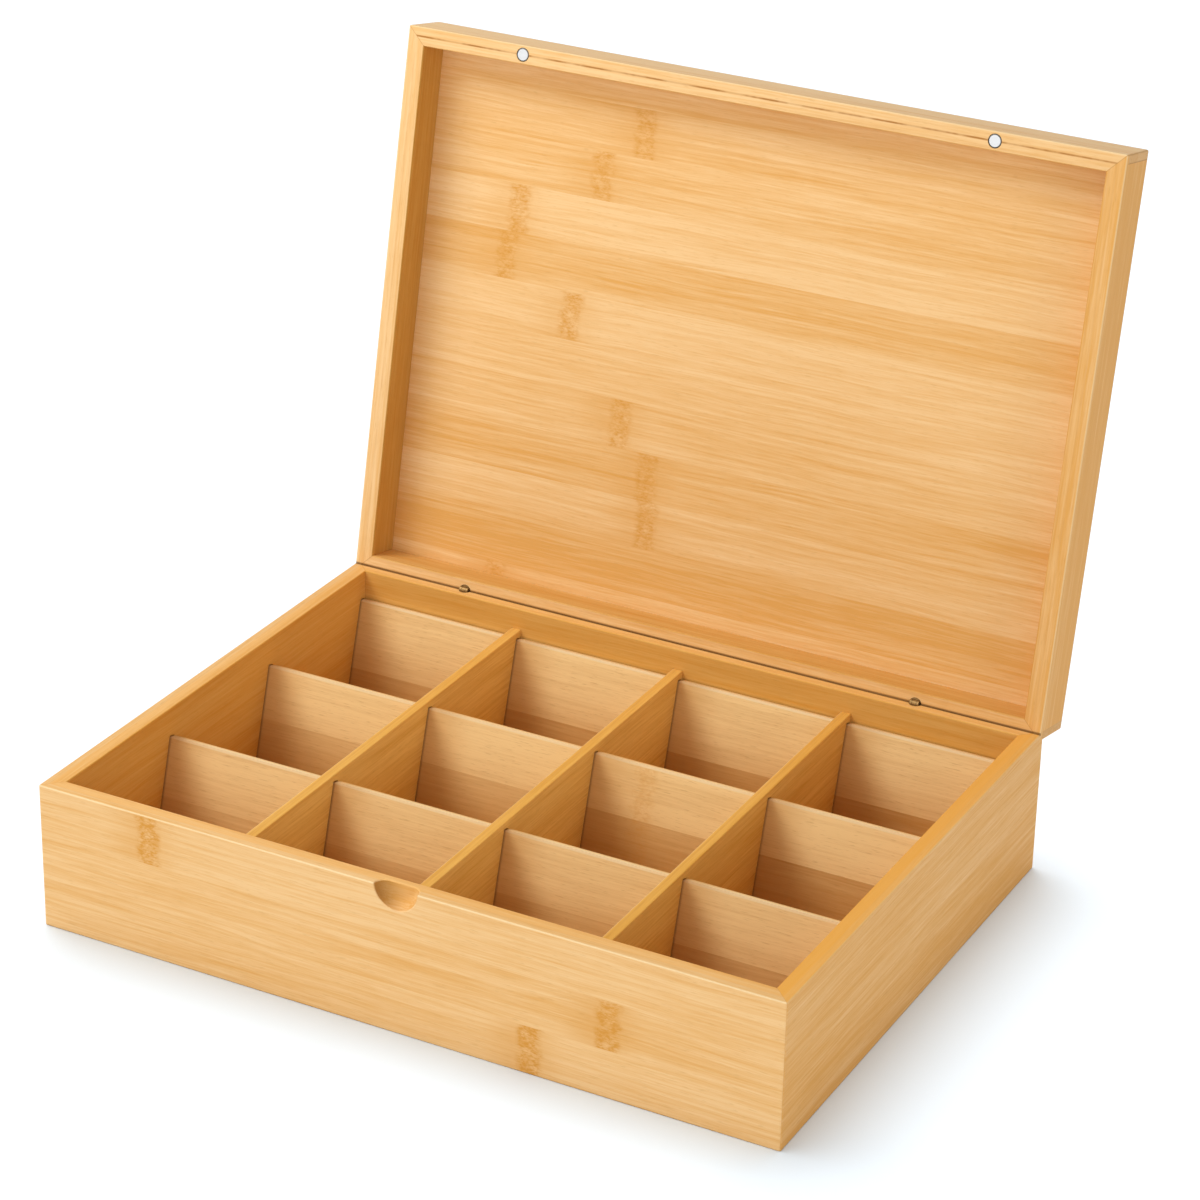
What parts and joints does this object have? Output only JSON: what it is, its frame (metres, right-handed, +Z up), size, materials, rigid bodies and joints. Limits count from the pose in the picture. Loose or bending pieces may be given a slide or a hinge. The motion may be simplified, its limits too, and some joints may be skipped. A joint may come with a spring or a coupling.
{
  "type": "tea bag organizer box",
  "caption": "Bamboo box with a hinged lid, long dividers and slanted panels that make compartments for tea bags.",
  "frame": {"origin": "centre of the underside of the base", "axes": "+X to the right, +Y to the back with the hinge, +Z up; the lid is open on its stop, as in the picture"},
  "size_m": [0.345, 0.3286, 0.3147],
  "materials": {
    "wall_bamboo": "satin, laminated bamboo, long grain",
    "board_bamboo": "satin, laminated bamboo",
    "divider_bamboo": "satin, laminated bamboo",
    "panel_bamboo": "satin, thin bamboo board",
    "lid_bamboo": "satin, edge-glued bamboo strips",
    "hinge_bronze": "antique bronze",
    "magnet_nickel": "nickel plated",
    "catch_steel": "plain"
  },
  "bodies": {
    "base": {"front_wall": "wall_bamboo", "back_wall": "wall_bamboo", "left_wall": "wall_bamboo", "right_wall": "wall_bamboo", "bottom_board": "board_bamboo", "divider_left": "divider_bamboo", "divider_middle": "divider_bamboo", "divider_right": "divider_bamboo", "front_panel_1": "panel_bamboo", "front_panel_2": "panel_bamboo", "front_panel_3": "panel_bamboo", "front_panel_4": "panel_bamboo", "middle_panel_1": "panel_bamboo", "middle_panel_2": "panel_bamboo", "middle_panel_3": "panel_bamboo", "middle_panel_4": "panel_bamboo", "rear_panel_1": "panel_bamboo", "rear_panel_2": "panel_bamboo", "rear_panel_3": "panel_bamboo", "rear_panel_4": "panel_bamboo", "catch_disc_left": "catch_steel", "catch_disc_right": "catch_steel", "left_hinge_base": "hinge_bronze", "left_hinge_pin": "hinge_bronze", "right_hinge_base": "hinge_bronze", "right_hinge_pin": "hinge_bronze"},
    "lid": {"lid_front_rail": "wall_bamboo", "lid_back_rail": "wall_bamboo", "lid_left_rail": "wall_bamboo", "lid_right_rail": "wall_bamboo", "lid_board": "lid_bamboo", "lid_magnet_left": "magnet_nickel", "lid_magnet_right": "magnet_nickel", "left_hinge_lid": "hinge_bronze", "right_hinge_lid": "hinge_bronze"}
  },
  "joints": [
    {"name": "lid_hinge", "type": "hinge", "parent": "base", "child": "lid", "pos_m": [0, 0.1246, 0.0672], "axis": [1, 0, 0], "range_deg": [0, 101.5]}
  ]
}
